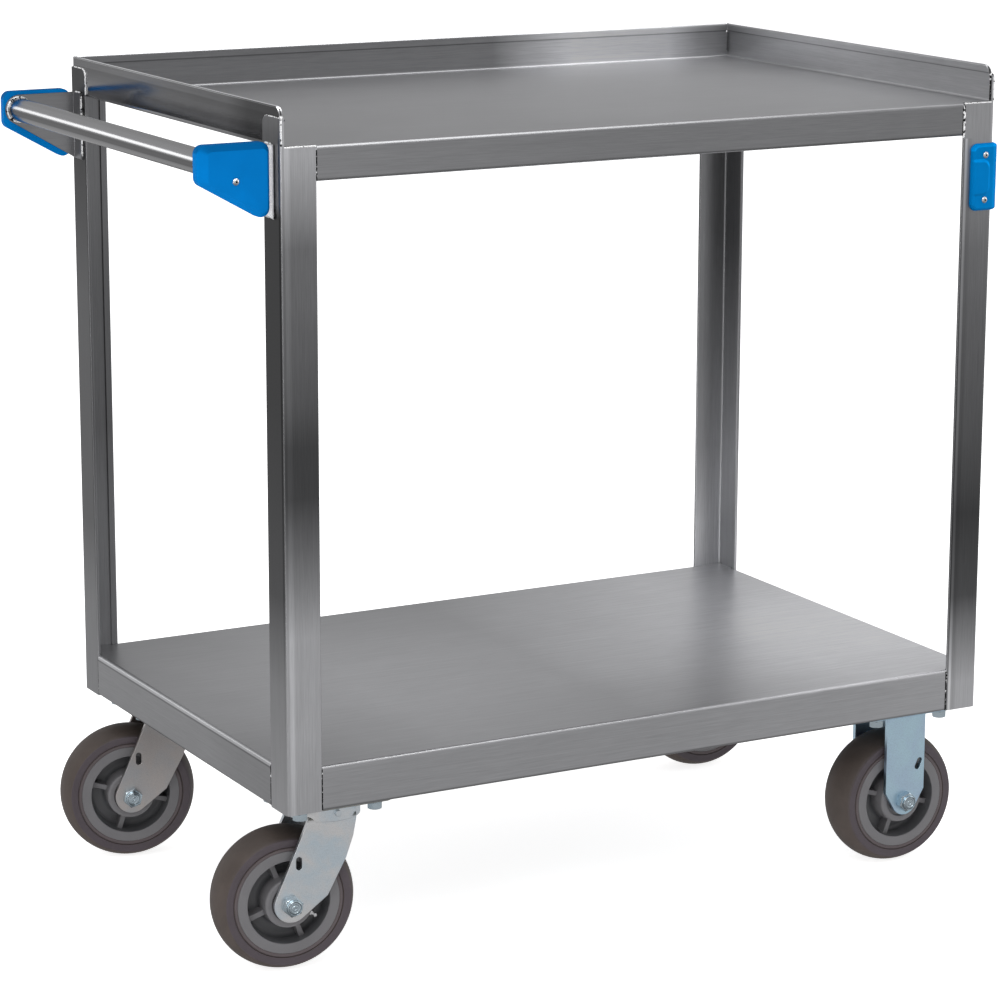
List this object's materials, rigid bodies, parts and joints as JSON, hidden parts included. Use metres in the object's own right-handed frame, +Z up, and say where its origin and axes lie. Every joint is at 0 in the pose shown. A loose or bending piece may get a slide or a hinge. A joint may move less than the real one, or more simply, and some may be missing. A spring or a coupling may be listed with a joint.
{
  "type": "two shelf utility cart with push handle",
  "caption": "Stainless steel shelf cart with raised tray lips, a tube push handle with blue covers, blue corner bumpers and swivel and rigid casters.",
  "frame": {"origin": "on the floor under the middle of the cart's outer box", "axes": "+X along the cart's length away from the push handle, +Y to the back lip's side, +Z up"},
  "size_m": [0.9276, 0.548, 0.89],
  "materials": {
    "brushed_stainless": "brushed",
    "satin_tube": "satin",
    "blue_plastic": "fine grained",
    "screw_steel": "satin",
    "zinc_caster": "bright zinc",
    "zinc_fastener": "bright zinc",
    "bearing_steel": "ground",
    "dark_core": "satin",
    "grey_tread": "smooth"
  },
  "bodies": {
    "frame": {"top_shelf": "brushed_stainless", "lower_shelf": "brushed_stainless", "upright_front_left": "brushed_stainless", "upright_back_left": "brushed_stainless", "upright_front_right": "brushed_stainless", "upright_back_right": "brushed_stainless", "top_shelf_stiffener": "brushed_stainless", "caster_channel_left": "brushed_stainless", "caster_channel_right": "brushed_stainless", "handle_bracket_front": "brushed_stainless", "handle_bracket_back": "brushed_stainless", "handle_tube": "satin_tube", "handle_cover_front": "blue_plastic", "handle_cover_back": "blue_plastic", "corner_bumper_front": "blue_plastic", "corner_bumper_back": "blue_plastic", "cover_screws": "screw_steel", "bumper_screws": "screw_steel", "caster_bolts": "zinc_fastener", "caster_washers": "zinc_fastener", "caster_nuts": "zinc_fastener", "swivel_plate_front_left": "zinc_caster", "kingpin_front_left": "zinc_caster", "kingpin_nut_front_left": "zinc_fastener", "swivel_plate_back_left": "zinc_caster", "kingpin_back_left": "zinc_caster", "kingpin_nut_back_left": "zinc_fastener", "rigid_fork_front_right": "zinc_caster", "rigid_fork_back_right": "zinc_caster", "axle_bolt_front_right": "zinc_fastener", "axle_nut_front_right": "zinc_fastener", "axle_bushing_front_right": "bearing_steel", "axle_bolt_back_right": "zinc_fastener", "axle_nut_back_right": "zinc_fastener", "axle_bushing_back_right": "bearing_steel"},
    "swivel_front_left": {"swivel_fork_front_left": "zinc_caster", "swivel_balls_front_left": "bearing_steel", "axle_bolt_front_left": "zinc_fastener", "axle_nut_front_left": "zinc_fastener", "axle_bushing_front_left": "bearing_steel"},
    "wheel_front_left": {"wheel_bearing_front_left": "bearing_steel", "wheel_core_front_left": "dark_core", "wheel_tread_front_left": "grey_tread"},
    "swivel_back_left": {"swivel_fork_back_left": "zinc_caster", "swivel_balls_back_left": "bearing_steel", "axle_bolt_back_left": "zinc_fastener", "axle_nut_back_left": "zinc_fastener", "axle_bushing_back_left": "bearing_steel"},
    "wheel_back_left": {"wheel_bearing_back_left": "bearing_steel", "wheel_core_back_left": "dark_core", "wheel_tread_back_left": "grey_tread"},
    "wheel_front_right": {"wheel_bearing_front_right": "bearing_steel", "wheel_core_front_right": "dark_core", "wheel_tread_front_right": "grey_tread"},
    "wheel_back_right": {"wheel_bearing_back_right": "bearing_steel", "wheel_core_back_right": "dark_core", "wheel_tread_back_right": "grey_tread"}
  },
  "joints": [
    {"name": "swivel_front_left", "type": "hinge", "parent": "frame", "child": "swivel_front_left", "pos_m": [-0.31075, -0.2025, 0.169], "axis": [0, 0, 1], "continuous": true},
    {"name": "roll_front_left", "type": "hinge", "parent": "swivel_front_left", "child": "wheel_front_left", "pos_m": [-0.35541, -0.19702, 0.075], "axis": [0.1219, 0.9925, 0], "continuous": true},
    {"name": "swivel_back_left", "type": "hinge", "parent": "frame", "child": "swivel_back_left", "pos_m": [-0.31075, 0.2025, 0.169], "axis": [0, 0, 1], "continuous": true},
    {"name": "roll_back_left", "type": "hinge", "parent": "swivel_back_left", "child": "wheel_back_left", "pos_m": [-0.3546, 0.21262, 0.075], "axis": [0.225, 0.9744, 0], "continuous": true},
    {"name": "roll_front_right", "type": "hinge", "parent": "frame", "child": "wheel_front_right", "pos_m": [0.38825, -0.2025, 0.075], "axis": [0, 1, 0], "continuous": true},
    {"name": "roll_back_right", "type": "hinge", "parent": "frame", "child": "wheel_back_right", "pos_m": [0.38825, 0.2025, 0.075], "axis": [0, 1, 0], "continuous": true}
  ]
}
